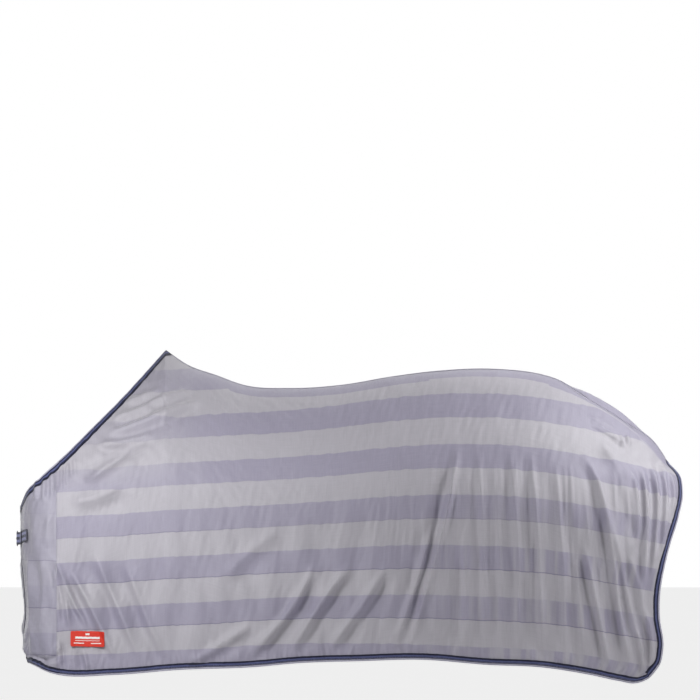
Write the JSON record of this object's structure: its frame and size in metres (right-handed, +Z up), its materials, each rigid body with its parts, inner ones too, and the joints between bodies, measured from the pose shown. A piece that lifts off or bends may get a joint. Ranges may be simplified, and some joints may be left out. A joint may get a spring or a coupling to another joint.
{
  "type": "horse fly sheet",
  "caption": "Light fly sheet for a horse: striped cloth halves joined along the spine, bound edges, hinged chest panels and a snap and ring closure.",
  "frame": {"origin": "under the spine at the lowest point of the horse's back, which is where the sheet is held", "axes": "+X towards the tail, -Y towards the near (left) side of the horse, +Z up"},
  "size_m": [1.9437, 0.577, 0.9553],
  "materials": {
    "striped_cloth": "light silver-grey weave with tone-on-tone stripes and a soft sheen",
    "binding": "navy and lilac-blue striped tape, matt",
    "webbing": "navy and lilac-blue woven tape, matt",
    "label": "red-orange woven label",
    "metal": "nickel plated"
  },
  "bodies": {
    "sheet": {"body_panel_near": "striped_cloth", "body_panel_far": "striped_cloth", "spine_tape": "webbing", "neck_binding_near": "binding", "neck_binding_far": "binding", "hem_binding_near": "binding", "hem_binding_far": "binding", "tail_binding_near": "binding", "tail_binding_far": "binding", "side_label": "label", "tail_loop_near": "webbing", "tail_loop_far": "webbing"},
    "chest_near": {"chest_panel_near": "striped_cloth", "chest_neck_binding_near": "binding", "chest_hem_binding_near": "binding", "front_binding_near": "binding", "hook_strap": "webbing"},
    "chest_far": {"chest_panel_far": "striped_cloth", "chest_neck_binding_far": "binding", "chest_hem_binding_far": "binding", "front_binding_far": "binding", "ring_keeper": "webbing"},
    "snap_eye": {"snap_eye": "metal"},
    "snap_hook": {"snap_hook": "metal", "snap_spring": "metal"},
    "snap_bolt": {"snap_bolt": "metal"},
    "d_ring": {"d_ring": "metal"}
  },
  "joints": [
    {"name": "chest_flap_near", "type": "hinge", "parent": "sheet", "child": "chest_near", "pos_m": [-0.67191, -0.24354, -0.437], "axis": [0, 0, 1], "range_deg": [0, 75]},
    {"name": "chest_flap_far", "type": "hinge", "parent": "sheet", "child": "chest_far", "pos_m": [-0.67191, 0.24354, -0.437], "axis": [0, 0, -1], "range_deg": [0, 75]},
    {"name": "snap_bar_turn", "type": "hinge", "parent": "chest_near", "child": "snap_eye", "pos_m": [-0.79378, -0.0745, -0.437], "axis": [0, 0, 1], "range_deg": [0, 90]},
    {"name": "snap_swivel", "type": "hinge", "parent": "snap_eye", "child": "snap_hook", "pos_m": [-0.79378, -0.0595, -0.437], "axis": [0, 1, 0], "continuous": true},
    {"name": "bolt_slide", "type": "slide", "parent": "snap_hook", "child": "snap_bolt", "axis": [0, -1, 0], "range_m": [0, 0.0045], "stiffness_N_per_m": 300},
    {"name": "ring_swing", "type": "hinge", "parent": "chest_far", "child": "d_ring", "pos_m": [-0.79378, 0.042, -0.437], "axis": [0, 0, -1], "range_deg": [0, 110]}
  ]
}
